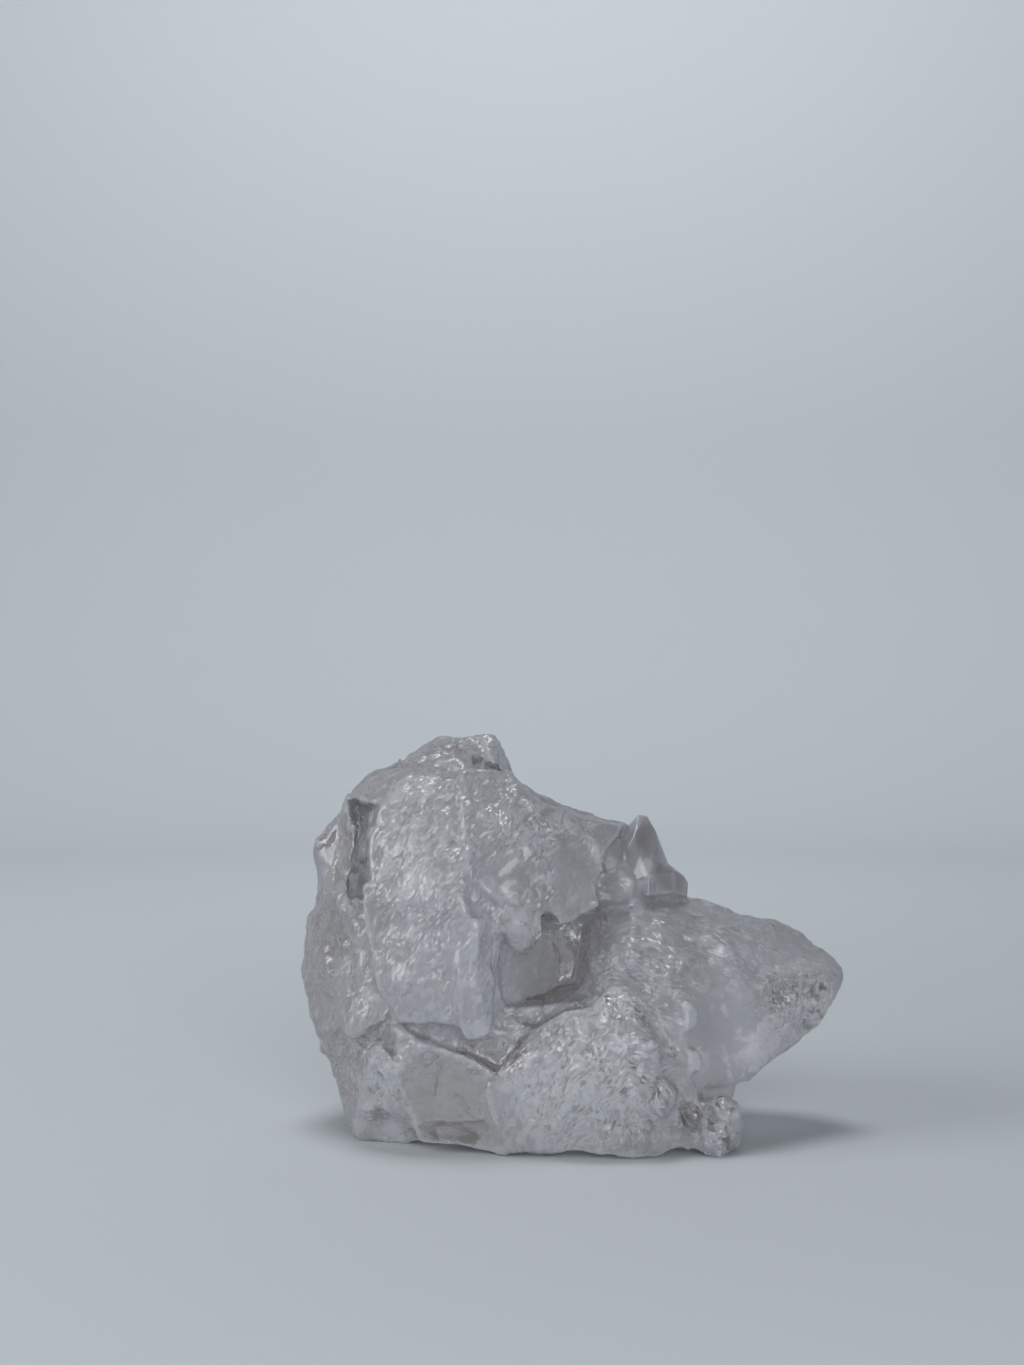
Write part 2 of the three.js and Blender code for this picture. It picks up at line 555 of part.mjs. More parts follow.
const grown = joined([broken, topPoint, topBlock, topStub, leftPoint, footCrystal, sideCrystal,
  backCrystals])
  .subtract(floor);

// Moves the stone so that the middle of its base is the origin
const geometry = geometryOf(grown);
geometry.computeBoundingBox();
const middle = geometry.boundingBox.getCenter(new THREE.Vector3());
geometry.translate(-middle.x, -middle.y, 0);

const quartz = new THREE.Mesh(
  geometry,
  new THREE.MeshStandardMaterial({ color: 0xb4b9c2, roughness: 0.35, metalness: 0 }),
);
quartz.name = "quartz";

const group = new THREE.Group();
group.add(quartz);

export default group;
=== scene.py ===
import math

import bpy
import numpy as np
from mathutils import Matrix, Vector


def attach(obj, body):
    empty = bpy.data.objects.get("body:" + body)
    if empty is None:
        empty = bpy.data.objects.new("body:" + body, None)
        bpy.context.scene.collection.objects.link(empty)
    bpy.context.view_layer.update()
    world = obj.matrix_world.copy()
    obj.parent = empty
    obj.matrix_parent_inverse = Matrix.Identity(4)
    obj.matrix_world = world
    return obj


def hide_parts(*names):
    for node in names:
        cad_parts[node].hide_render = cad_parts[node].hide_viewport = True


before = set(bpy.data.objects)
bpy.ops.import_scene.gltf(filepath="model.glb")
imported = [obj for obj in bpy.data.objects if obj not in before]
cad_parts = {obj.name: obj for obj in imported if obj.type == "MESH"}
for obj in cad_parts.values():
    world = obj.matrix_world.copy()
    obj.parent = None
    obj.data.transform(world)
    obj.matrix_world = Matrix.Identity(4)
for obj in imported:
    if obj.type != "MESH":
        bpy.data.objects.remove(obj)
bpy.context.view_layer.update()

bpy.ops.object.select_all(action="DESELECT")

# The stone's broken body: one lump of milky quartz, snapped off its vein. Its faces are shell-
# shaped breaks that meet in sharp ridges, so it starts from the solid, is rounded between its
# ridges, and is then scarred, chipped and scratched except where it broke smooth.
MM = 0.001
EYE = Vector((-7.625, -257.43, 57.3)) * MM
EYE_A = -7.85
EYE_B = 57.3
MIDDLE_RANGE = 256
SHIFT = (0.225, -1.43)
DOUBLE = 0.01 * MM
RIDGE_ANGLE = math.radians(32)
RIDGE_CREASE = 0.9
GRAIN = 0.41 * MM
WANDER = {"size": 4 * MM, "reach": 3 * MM}
LONG_SCARS = {"size": 4.2 * MM, "height": 0.65 * MM}
PLATE = 2.6 * MM
PLATE_LEAN = 0.16
HACKLES = {"size": 0.9 * MM, "height": 0.16 * MM, "stretch": 3.5}
STEEP = math.radians(32)
SLOPE = math.radians(104)


def seen(a, b, y):
    """The place, in metres, of a point read at (a, b) mm on the mid-plane that lies y mm behind it."""
    x = a + SHIFT[0] + (a - EYE_A) * y / MIDDLE_RANGE
    z = b - (EYE_B - b) * y / MIDDLE_RANGE
    return Vector((x, y + SHIFT[1], z)) * MM


def front(piece, a, b):
    """The depth y, in mm, at which the line of sight through the reading (a, b) meets the piece."""
    sight = (seen(a, b, 0) - EYE).normalized()
    hit, place, _, _ = piece.ray_cast(EYE, sight)
    return place.y / MM - SHIFT[1] if hit else 0


def reading(piece):
    """The readings a and b and the depth y, in mm, of each of the piece's vertices."""
    places = np.empty(len(piece.data.vertices) * 3)
    piece.data.vertices.foreach_get("co", places)
    x, y, z = places.reshape(-1, 3).T / MM
    y = y - SHIFT[1]
    share = MIDDLE_RANGE / (MIDDLE_RANGE + y)
    a = (x - SHIFT[0] - EYE_A) * share + EYE_A
    b = EYE_B - (EYE_B - z) * share
    return a, b, y


def paint(piece, name, ground, patches):
    """Writes an attribute: a ground value, then soft ovals (a, b, wide, high, turn, value) in front."""
    a, b, y = reading(piece)
    values = np.full(len(a), float(ground))
    for at_a, at_b, wide, high, turn, value in patches:
        c, s = math.cos(math.radians(turn)), math.sin(math.radians(turn))
        along = ((a - at_a) * c + (b - at_b) * s) / wide
        across = ((b - at_b) * c - (a - at_a) * s) / high
        deep = (y - front(piece, at_a, at_b)) / (1.5 + max(wide, high))
        gap = np.sqrt(along ** 2 + across ** 2 + deep ** 2)
        cover = np.clip((1.5 - gap) / 1.0, 0, 1)
        cover = cover * cover * (3 - 2 * cover)
        values = values * (1 - cover) + value * cover
    layer = piece.data.attributes.get(name) or piece.data.attributes.new(name, "FLOAT", "POINT")
    layer.data.foreach_set("value", values)


def apply_all(piece):
    """Applies the piece's modifiers, first to last."""
    bpy.context.view_layer.objects.active = piece
    for modifier in list(piece.modifiers):
        bpy.ops.object.modifier_apply(modifier=modifier.name)


def hull(name, corners):
    """A closed skin drawn tight round the corners, each read at (a, b) mm and y mm behind the mid-plane."""
    skin = bpy.data.meshes.new(name)
    skin.from_pydata([seen(*corner) for corner in corners], [], [])
    made = bpy.data.objects.new(name, skin)
    bpy.context.collection.objects.link(made)
    made.select_set(True)
    bpy.context.view_layer.objects.active = made
    bpy.ops.object.mode_set(mode="EDIT")
    bpy.ops.mesh.select_all(action="SELECT")
    bpy.ops.mesh.convex_hull()
    bpy.ops.mesh.normals_make_consistent(inside=False)
    bpy.ops.object.mode_set(mode="OBJECT")
    return made


def add_node(tree, kind, **inputs):
    """A node whose inputs, numbered in0, in1 or named, are set or linked; set_ words are its settings."""
    made = tree.nodes.new(kind)
    for word, value in inputs.items():
        if word.startswith("set_"):
            setattr(made, word[4:], value)
            continue
        numbered = word[:2] == "in" and word[2:].isdigit()
        socket = made.inputs[int(word[2:]) if numbered else word.replace("_", " ").title()]
        if isinstance(value, bpy.types.NodeSocket):
            tree.links.new(value, socket)
        else:
            socket.default_value = value
    return made


def maths(tree, operation, first, second=0.0):
    """One sum of two values."""
    return add_node(tree, "ShaderNodeMath", set_operation=operation, in0=first, in1=second).outputs[0]


def vectors(tree, operation, first, second=(0, 0, 0)):
    """One sum of two vectors."""
    made = add_node(tree, "ShaderNodeVectorMath", set_operation=operation, in0=first, in1=second)
    return made.outputs["Value" if operation == "DOT_PRODUCT" else "Vector"]


def brushed(tree, place, turn, stretch):
    """The place as strokes see it that lean over by turn and are stretched along themselves."""
    back = maths(tree, "MULTIPLY", turn, -1.0)
    leant = add_node(tree, "ShaderNodeVectorRotate", set_rotation_type="Y_AXIS", Vector=place, Angle=back)
    return vectors(tree, "MULTIPLY", leant.outputs[0], (1, 1, 1 / stretch))


def crooked(tree, place, size, reach, detail=2.0):
    """The place, moved about by noise, so that what is drawn on it has no straight edges."""
    wander = add_node(tree, "ShaderNodeTexNoise", Vector=place, Scale=1 / size, Detail=detail)
    off = vectors(tree, "SUBTRACT", wander.outputs["Color"], (0.5, 0.5, 0.5))
    return vectors(tree, "ADD", place, vectors(tree, "MULTIPLY", off, (reach, reach, reach)))


def scars(tree, place, size, height):
    """Shell-shaped scars: hollows of this size that meet in sharp ridges."""
    far = add_node(tree, "ShaderNodeTexVoronoi", Vector=place, Scale=1 / size).outputs["Distance"]
    bowl = maths(tree, "SUBTRACT", maths(tree, "MULTIPLY", far, far), 0.3)
    return maths(tree, "MULTIPLY", bowl, height)


def flakes(tree, place, size):
    """Flat flakes of this size, each leaning its own way: their height, and a random value for each."""
    cells = add_node(tree, "ShaderNodeTexVoronoi", Vector=place, Scale=1 / size)
    off = vectors(tree, "SUBTRACT", place, cells.outputs["Position"])
    lean = vectors(tree, "SUBTRACT", cells.outputs["Color"], (0.5, 0.5, 0.5))
    chance = vectors(tree, "DOT_PRODUCT", cells.outputs["Color"], (0, 1, 0))
    return vectors(tree, "DOT_PRODUCT", off, lean), chance


def attribute(tree, name):
    """What was painted under this name, as a value in the nodes of a shape or of a material."""
    if tree.type == "SHADER":
        return add_node(tree, "ShaderNodeAttribute", set_attribute_name=name).outputs["Fac"]
    return add_node(tree, "GeometryNodeInputNamedAttribute", Name=name).outputs[0]


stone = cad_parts["quartz"].copy()
stone.data = stone.data.copy()
stone.parent = None
stone.name = "rough_quartz"
bpy.context.collection.objects.link(stone)
stone.select_set(True)
bpy.context.view_layer.objects.active = stone
bpy.ops.object.mode_set(mode="EDIT")
bpy.ops.mesh.select_mode(type="EDGE")
bpy.ops.mesh.select_all(action="SELECT")
bpy.ops.mesh.remove_doubles(threshold=DOUBLE)
bpy.ops.mesh.select_all(action="DESELECT")
bpy.ops.mesh.edges_select_sharp(sharpness=RIDGE_ANGLE)
bpy.ops.transform.edge_crease(value=RIDGE_CREASE)
bpy.ops.object.mode_set(mode="OBJECT")
rounding = stone.modifiers.new("rounding", "SUBSURF")
rounding.levels = rounding.render_levels = 2
apply_all(stone)
bpy.ops.object.select_all(action="DESELECT")
knob = hull("knob", [
    (-19.3, 48.9, 2.5), (-17.6, 49.9, 3), (-15.2, 49.8, 3), (-13.2, 49.5, 2.6), (-11.6, 50.1, 3.2),
    (-10.1, 49.6, 3.2), (-8.8, 47.6, 3), (-8.2, 45.4, 2.6), (-12.6, 45.2, 0.4), (-14.4, 46.8, -1),
    (-17.2, 47.4, -2), (-12.4, 48, -0.4), (-18, 49, 8), (-11.6, 49.6, 9), (-8.6, 45.6, 9), (-17, 45, 9),
])
knob.select_set(True)
stone.select_set(True)
bpy.context.view_layer.objects.active = stone
bpy.ops.object.join()
grain = stone.modifiers.new("grain", "REMESH")
grain.mode = "VOXEL"
grain.voxel_size = GRAIN
apply_all(stone)

paint(stone, "chipped", 1.0, [
    (-16, 3, 7, 6.5, -15, 0.1), (-12, 8, 4, 3, 0, 0.8), (19, 12, 5, 8, 0, 0.15), (26, 9, 5, 4, 35, 0.3),
    (-4, 21, 5, 6, 0, 0.5), (-13, 18, 3, 8, 8, 0.7), (0, 33, 4, 6, 0, 0.5), (-6.3, 25.3, 2.5, 3, 0, 0.4),
    (10, 34, 6, 6, 0, 0.0), (19.5, 0, 3.2, 4.6, 0, 0.0), (11.6, 3.4, 2.4, 3, 0, 0.0),
    (-8.5, 32.5, 4, 3, 40, 0.3),
])
paint(stone, "slope", 0.0, [(20, 22, 22, 9, -15, 1.0), (22, 8, 16, 14, 0, 1.0)])

chipping = bpy.data.node_groups.new("chipping", "GeometryNodeTree")
chipping.is_modifier = True
chipping.interface.new_socket("Geometry", in_out="INPUT", socket_type="NodeSocketGeometry")
chipping.interface.new_socket("Geometry", in_out="OUTPUT", socket_type="NodeSocketGeometry")
whole = chipping.nodes.new("NodeGroupInput").outputs[0]
place = chipping.nodes.new("GeometryNodeInputPosition").outputs[0]
normal = chipping.nodes.new("GeometryNodeInputNormal").outputs[0]
bent = crooked(chipping, place, **WANDER)
plates = maths(chipping, "MULTIPLY", flakes(chipping, bent, PLATE)[0], PLATE_LEAN)
height = maths(chipping, "ADD", scars(chipping, bent, **LONG_SCARS), plates)
strokes = [
    scars(chipping, brushed(chipping, bent, turn, HACKLES["stretch"]), HACKLES["size"], HACKLES["height"])
    for turn in (STEEP, SLOPE)
]
slope = attribute(chipping, "slope")
strokes = add_node(chipping, "ShaderNodeMix", Factor=slope, in2=strokes[0], in3=strokes[1]).outputs[0]
height = maths(chipping, "ADD", height, strokes)
height = maths(chipping, "MULTIPLY", height, attribute(chipping, "chipped"))
shift = add_node(chipping, "ShaderNodeVectorMath", set_operation="SCALE", in0=normal, Scale=height)
above = vectors(chipping, "MAXIMUM", vectors(chipping, "ADD", place, shift.outputs[0]), (-1, -1, 0))
moved = add_node(chipping, "GeometryNodeSetPosition", Geometry=whole, Position=above)
add_node(chipping, "NodeGroupOutput", in0=moved.outputs[0])
stone.modifiers.new("chipping", "NODES").node_group = chipping
apply_all(stone)
bpy.ops.object.shade_smooth()

# The clear crystals: small quartz points with flat faces, which grew on the lump. Each is the
# skin round its corners, with its edges lightly worn, and is joined into the stone.
CRYSTAL_CORNERS = {
    "point": [
        (8.6, 40, -3.5), (9.6, 39.9, -3.5), (6.8, 38.1, -4), (8, 37.3, -6.3), (7.3, 36, -7.3),
        (5.6, 34, -6.5), (7.4, 33, -8.3), (8.8, 34.8, -8), (10.3, 34.3, -7.6), (9.8, 32.3, -8.6),
        (7.6, 31.5, -8.8), (10.7, 38, -4.5), (11, 36.2, -5.6), (11.1, 35, -6), (10.6, 33.6, -7),
        (12, 34.4, -3), (12.3, 33.9, -1), (11, 36.8, -2.5), (8.8, 39.5, -1.5), (6.2, 36, -1),
        (5.5, 30, -2), (12, 30, -1), (7, 29.5, -8),
    ],
    "block": [
        (10.5, 32.3, -6.4), (12.3, 33.8, -4.4), (14.4, 32.1, -3.8), (14.9, 31.2, -3.8),
        (14.8, 29.6, -3.8), (13.2, 32.7, -6), (13.2, 30.1, -7), (10.6, 32.3, -7.2), (10.6, 29.8, -8),
        (12, 33.6, -1), (14.6, 31.8, -1), (14.8, 29.5, -1), (10.6, 29, -2),
    ],
    "stub": [
        (9.1, 31.2, -9), (9.2, 29.8, -9.2), (9.8, 32.3, -8.6), (10.6, 32.2, -8.2), (10.7, 29.8, -9),
        (9.9, 31.7, -9.8), (9.8, 29.7, -10.2), (9.2, 29, -6), (10.7, 29, -6),
    ],
    "left_point": [
        (4.3, 34.2, -8.5), (5.2, 36.9, -7.2), (6.1, 37, -6.8), (6.3, 35.4, -7.5), (5.5, 33.4, -9.2),
        (4.4, 33, -9), (4, 30, -4), (8, 30, -4), (6.5, 36.5, -3), (4.5, 36.3, -5),
    ],
    "foot": [
        (17.6, 2.9, -16.8), (18.5, 3.4, -16.4), (19.8, 3.6, -16), (20.4, 3.4, -15.8), (21.3, 2.9, -15.6),
        (22, 1.7, -15.6), (22.1, 0, -15.6), (21.8, -2.3, -15.8), (21.5, -2.9, -16), (20.3, -3.6, -16.8),
        (18, 2, -17.8), (20.2, 2.5, -17.6), (21.2, 2.2, -17), (17.2, 1.5, -17.4), (16.9, -1, -17.6),
        (17.2, -3.9, -17.8), (19.2, -4.2, -17.6), (20, -2, -18.2), (18, -2.5, -18.6), (19.6, 0, -18.4),
        (18, 3, -12), (21.5, 2.5, -12), (21.8, 0, -12), (21, -3, -12), (17, -4, -12),
    ],
    "side": [
        (9.6, 3, -19.6), (10, 4.6, -19.4), (11.9, 6.1, -18.8), (12.4, 5.6, -18.6), (13.6, 4.5, -18.2),
        (13.6, 4, -18.2), (13, 2.2, -18.4), (12.3, 0.7, -18.8), (11, 0.8, -19.4), (9.8, 2, -19.8),
        (11, 4.7, -20.6), (12.1, 5.2, -20.2), (13, 4.2, -19.6), (12.4, 2, -20.4), (10.8, 2.6, -21),
        (10, 3, -15), (13.4, 4.5, -15), (12.5, 1, -15),
    ],
}
SKIN = 0.12 * MM
WORN_EDGE = 0.07 * MM

for name, corners in CRYSTAL_CORNERS.items():
    bpy.ops.object.select_all(action="DESELECT")
    crystal = hull(name, corners)
    bpy.ops.object.mode_set(mode="EDIT")
    bpy.ops.transform.shrink_fatten(value=SKIN)
    bpy.ops.object.mode_set(mode="OBJECT")
    for corner in crystal.data.vertices:
        corner.co.z = max(corner.co.z, 0)
    worn = crystal.modifiers.new("worn", "BEVEL")
    worn.width = WORN_EDGE
    worn.limit_method = "ANGLE"
    worn.angle_limit = math.radians(12)
    finer = crystal.modifiers.new("finer", "SUBSURF")
    finer.subdivision_type = "SIMPLE"
    finer.levels = finer.render_levels = 2
    apply_all(crystal)
    bpy.ops.object.shade_smooth_by_angle(angle=math.radians(10))
    grown = stone.modifiers.new("grown", "BOOLEAN")
    grown.operation = "UNION"
    grown.solver = "MANIFOLD"
    grown.object = crystal
    apply_all(stone)
    bpy.data.objects.remove(crystal)

CRYSTAL_PLACES = [(9, 35, 6), (12.5, 31.5, 3.5), (19.6, -0.3, 4.6), (11.6, 3.3, 3.2)]
bpy.context.view_layer.objects.active = stone
stone.select_set(True)
bpy.ops.object.mode_set(mode="EDIT")
bpy.ops.mesh.select_mode(type="EDGE")
bpy.ops.mesh.select_all(action="DESELECT")
bpy.ops.mesh.edges_select_sharp(sharpness=math.radians(17))
bpy.ops.object.mode_set(mode="OBJECT")
a, b, y = reading(stone)
near = np.zeros(len(a), bool)
for at_a, at_b, reach in CRYSTAL_PLACES:
    near |= (np.hypot(a - at_a, b - at_b) < reach) & (y < 2)
edges = stone.data.edges
ends = np.empty(len(edges) * 2, int)
edges.foreach_get("vertices", ends)
keen = np.empty(len(edges), bool)
edges.foreach_get("select", keen)
edges.foreach_set("use_edge_sharp", keen & near[ends.reshape(-1, 2)].all(axis=1))

# What the eye reads in the quartz: windows where it is clear and warm grey, white veils, and
# breaks that glitter, with painted light among them: painted shade on the crystals' dark faces,
# in hollows and in the recess, and painted highlights on lit facets, rims and tips. Each is an
# attribute of the stone, laid on its front by soft ovals.
# Warm grey windows where the quartz is clear; on the slot at the left, the knob's hollow and the recess the
# warm grey is also painted shade.
paint(stone, "clear", 0.12, [
    (-16, 2.5, 7, 6, -15, 0.6), (-10, 8.5, 5, 3, 0, 0.7),
    (-3, 21, 5.5, 6, 0, 0.85), (-30.5, 36, 2.5, 6, 10, 0.45), (-31.5, 24, 2.2, 5, 0, 0.6),
    (-27.7, 37.5, 1.2, 5, 0, 0.4), (28.2, 17.2, 5, 2, 8, 0.9), (7, -1.8, 3.5, 2.2, 0, 0.4),
    (9, 35, 5, 6, 0, 0.0), (15, 1, 2, 2.5, 0, 0.6), (3, 24, 2.6, 4, -20, 0.5), (-16, 48, 4, 2.2, 0, 0.3),
    (-11.5, 46.5, 2.6, 1.0, -15, 0.5), (-25.5, 0, 3, 3, 0, 0.3), (-30, 8, 2.5, 6, 0, 0.5),
])
# Painted shade: the crystals' faces turned from the light, the gap beside the foot crystal, the knob's
# hollow, the recess and the dark band beside it, and the dark clear tip of the horn are painted dark.
paint(stone, "painted_shade", 0.0, [
    (9.6, 37.2, 1.5, 2.6, -12, 0.75), (10.9, 35.2, 0.8, 2.2, 20, 0.4), (12.9, 31.8, 2.2, 1.6, -30, 0.7),
    (13.1, 31.2, 0.4, 1.4, 0, 0.4), (6.3, 35.4, 1.4, 1.6, 30, 0.25), (-3, 21, 5.5, 6, 0, 0.42),
    (15, 1, 1.8, 2.2, 0, 0.1), (1.2, 23, 1.0, 4, 0, 0.4), (18.2, 1.2, 0.5, 1.2, 20, 0.9),
    (-11.5, 46.5, 2.4, 0.8, -15, 0.1), (-8.5, 32.5, 3.4, 2.6, 40, 0.14), (28, 17.4, 4, 1.4, 8, 0.2),
])
# White veils in the quartz, and painted highlights: the lit top of the shelf, bright crystal facets, the
# bright rims, ridges and tips, the bulge at the front and the lower left foot are painted white too.
paint(stone, "pale", 0.25, [
    (-27.5, 14.5, 3.2, 3.6, 0, 0.35), (-21, 43.5, 3.5, 1.6, 15, 0.8), (-20, 35, 5, 8, 0, 0.5),
    (-19, 21, 5, 6, 0, 0.3), (-13, 18, 2.8, 7, 10, 0.2), (-11.5, 12.3, 1.6, 1.6, 0, 0.9),
    (-6.3, 25.3, 2.3, 3.2, 0, 0.6), (0, 33, 4, 6, 0, 0.25), (-5, 39, 5, 3, 0, 0.6),
    (-10, 30.4, 2.2, 0.9, -30, 0.9),
    (0, 4, 9, 8, 0, 0.8), (5.2, 15.9, 2, 1.7, 0, 1.2), (9.9, 9.6, 1.2, 0.9, 0, 1.2),
    (8.2, 28, 0.9, 1.1, 0, 1.2), (9.8, 33.2, 0.7, 1.0, 0, 1.4), (5, 33.6, 0.6, 0.8, 0, 1.2),
    (15.5, 14, 0.9, 1.9, 0, 0.6), (16, 8.2, 0.9, 1.8, 0, 0.5),
    (-13, 7.6, 6, 1.2, -32, 0.9), (-24.7, 6.6, 2.2, 3.6, -20, 1.2), (-25, 0, 3, 3.5, 0, 1.0),
    (25, 9, 5, 4, 35, 0.6), (31, 14, 3.5, 2.5, 40, 1.4),
    (-16, 2.5, 7, 6, -15, 0.2), (-3, 21, 5.5, 6, 0, 0.0),
])
paint(stone, "glitter", 0.5, [
    (-20, 34, 5, 9, 0, 0.8), (-19, 24, 4.5, 6, 0, 0.8), (-5, 38.5, 4.5, 3.5, -10, 1.0),
    (8, 18, 7, 6, 0, 1.0),
    (-1.5, 11.5, 2.5, 2, 0, 1.0), (29.5, 15.5, 5, 4, 0, 1.3), (-26, 8, 4, 6, 0, 0.9),
    (20, 23, 12, 4, -15, 0.6),
    (2, 4, 9, 7, 0, 1.2), (-16, 2.5, 7, 6, -15, 0.05), (19, 12, 5, 8, 0, 0.06), (-13, 18, 2.8, 7, 10, 0.4),
    (-3, 21, 5.5, 6, 0, 0.1), (10, 35, 6, 5.5, 0, 0.0), (19.6, -0.5, 3, 4, 0, 0.0),
    (11.6, 3.4, 2.4, 3, 0, 0.2), (0.5, 32, 3, 5, 0, 0.15), (-30.5, 36, 2.5, 6, 10, 0.12),
    (-16, 48, 5, 2.5, 0, 0.3),
    (-31.5, 24, 2.2, 5, 0, 0.3), (-8.5, 32.5, 3.6, 2.6, 40, 0.1),
])
# Splintered glassy breaks, with strong relief and, in their colour, painted glints: bright and dark streaks
# on the foot crystal, the horn's tip and the rib.
paint(stone, "splintered_and_painted_glints", 0.0, [
    (19.6, -0.5, 3, 4, 0, 1.0), (11.6, 3.4, 2.0, 2.6, 0, 0.7), (31, 14.3, 3.4, 2.4, 45, 1.0),
    (31.3, 18, 2.4, 1.6, -20, 0.8), (27.6, 12.3, 1.4, 0.7, 10, 0.8),
    (-25, 7, 1.4, 3.4, -20, 0.6), (5.2, 15.8, 1.6, 1.4, 0, 0.6), (-27.5, 10.5, 2, 1.2, 0, 0.4),
    (13, 9.5, 1.2, 1.2, 0, 0.4),
])

RIDGE_HEIGHT = 0.12 * MM


def enabled(sockets, kind):
    """The first socket of this kind that is in use."""
    return next(socket for socket in sockets if socket.type == kind and socket.enabled)


# How far each place stands proud of what lies round it: ridges above 0, cracks below.
ridging = bpy.data.node_groups.new("ridging", "GeometryNodeTree")
ridging.is_modifier = True
ridging.interface.new_socket("Geometry", in_out="INPUT", socket_type="NodeSocketGeometry")
ridging.interface.new_socket("Geometry", in_out="OUTPUT", socket_type="NodeSocketGeometry")
whole = ridging.nodes.new("NodeGroupInput").outputs[0]
place = ridging.nodes.new("GeometryNodeInputPosition").outputs[0]
normal = ridging.nodes.new("GeometryNodeInputNormal").outputs[0]
blurred = add_node(ridging, "GeometryNodeBlurAttribute", set_data_type="FLOAT_VECTOR", Iterations=5)
ridging.links.new(place, enabled(blurred.inputs, "VECTOR"))
mean = enabled(blurred.outputs, "VECTOR")
proud = vectors(ridging, "DOT_PRODUCT", vectors(ridging, "SUBTRACT", place, mean), normal)
stored = add_node(ridging, "GeometryNodeStoreNamedAttribute", set_data_type="FLOAT", set_domain="POINT",
                  Geometry=whole, Name="ridge")
ridging.links.new(maths(ridging, "MULTIPLY", proud, 1 / RIDGE_HEIGHT), enabled(stored.inputs, "VALUE"))
add_node(ridging, "NodeGroupOutput", in0=stored.outputs[0])
stone.modifiers.new("ridging", "NODES").node_group = ridging
apply_all(stone)

QUARTZ_IOR = 1.544
THROUGH = (0.76, 0.73, 0.74, 1)
THROUGH_DENSITY = 10.0
CLOUD = 5 * MM
PLATELET = 3.6 * MM
CHIP = 1.3 * MM
FLECK = 0.3 * MM
FLECK_STRETCH = 2.8
SPLINTER = 0.6 * MM
SPLINTER_LEAN = math.radians(-28)
SPLINTER_STRETCH = 1.8
DULL = 0.36
GLASSY = 0.10

quartz = bpy.data.materials.new("milky_quartz")
quartz.use_nodes = True
tree = quartz.node_tree
surface = tree.nodes["Principled BSDF"]
surface.inputs["IOR"].default_value = QUARTZ_IOR
surface.inputs["Transmission Weight"].default_value = 0.74
surface.inputs["Coat Weight"].default_value = 0.25
surface.inputs["Coat Roughness"].default_value = 0.1
surface.inputs["Coat IOR"].default_value = QUARTZ_IOR
depth = add_node(tree, "ShaderNodeVolumeAbsorption", Color=THROUGH, Density=THROUGH_DENSITY)
tree.links.new(depth.outputs[0], tree.nodes["Material Output"].inputs["Volume"])

GREY = (0.62, 0.62, 0.66, 1)
LILAC = (0.61, 0.592, 0.64, 1)
WARM = (0.54, 0.515, 0.50, 1)
DARK_SHADE = (0.28, 0.26, 0.25, 1)
WHITE = (0.93, 0.94, 0.99, 1)


def blend(factor, first, second):
    """The first colour, or the second as far as the factor goes."""
    mixed = add_node(tree, "ShaderNodeMix", set_data_type="RGBA", in0=factor, in6=first, in7=second)
    return mixed.outputs[2]


def ranged(value, low, high, top=1.0):
    """0 where the value is low, rising softly to top where it is high."""
    return add_node(tree, "ShaderNodeMapRange", set_interpolation_type="SMOOTHSTEP", Value=value,
                    From_Min=low, From_Max=high, To_Max=top).outputs[0]


def clouding(place, size, detail):
    """Soft clouds of this size, from 0 to 1."""
    return add_node(tree, "ShaderNodeTexNoise", Vector=place, Scale=1 / size, Detail=detail,
                    Roughness=0.65).outputs["Fac"]


def broken_up(name):
    """An attribute whose soft edges break up along the chips, as the veils and windows in quartz do."""
    by_chip = maths(tree, "MULTIPLY", chip_chance, 0.35)
    wandering = maths(tree, "ADD", by_chip, maths(tree, "MULTIPLY", cloud, 0.9))
    moved_edge = maths(tree, "SUBTRACT", wandering, 0.62)
    return ranged(maths(tree, "ADD", attribute(tree, name), moved_edge), 0.3, 0.62)


where = tree.nodes.new("ShaderNodeTexCoord").outputs["Object"]
glitter = attribute(tree, "glitter")
ridge = attribute(tree, "ridge")
splintered_and_painted_glints = attribute(tree, "splintered_and_painted_glints")
bent = crooked(tree, where, 3 * MM, 2 * MM, detail=0.0)
cloud = clouding(bent, CLOUD, 3.0)
leant = maths(tree, "MULTIPLY", maths(tree, "GREATER_THAN", attribute(tree, "slope"), 0.5), SLOPE - STEEP)
flecks = brushed(tree, bent, maths(tree, "ADD", leant, STEEP), FLECK_STRETCH)
fleck, fleck_chance = flakes(tree, flecks, FLECK)
chip, chip_chance = flakes(tree, bent, CHIP)
plate_chance = flakes(tree, bent, PLATELET)[1]
splinters = brushed(tree, bent, SPLINTER_LEAN, SPLINTER_STRETCH)
splinter, splinter_chance = flakes(tree, splinters, SPLINTER)
clear = broken_up("clear")
uneven = maths(tree, "MULTIPLY", maths(tree, "SUBTRACT", plate_chance, 0.5), 0.4)
milk_and_highlight = maths(tree, "ADD", broken_up("pale"), uneven)
colour = blend(ranged(cloud, 0.4, 0.62), GREY, LILAC)
# White veils, and painted highlights on lit facets, rims and tips.
colour = blend(ranged(milk_and_highlight, 0.0, 1.2), colour, WHITE)
# Clear windows in warm grey, which is also painted shade in the slot, the knob's hollow and the recess.
colour = blend(clear, colour, WARM)
# Where the breaks glitter, flecks are painted white and warm grey: white specks of broken quartz with
# painted glints among them, and painted dark flecks.
colour = blend(maths(tree, "MULTIPLY", glitter, ranged(fleck_chance, 0.66, 0.9, 0.9)), colour, WHITE)
colour = blend(maths(tree, "MULTIPLY", glitter, ranged(fleck_chance, 0.4, 0.05, 0.7)), colour, WARM)
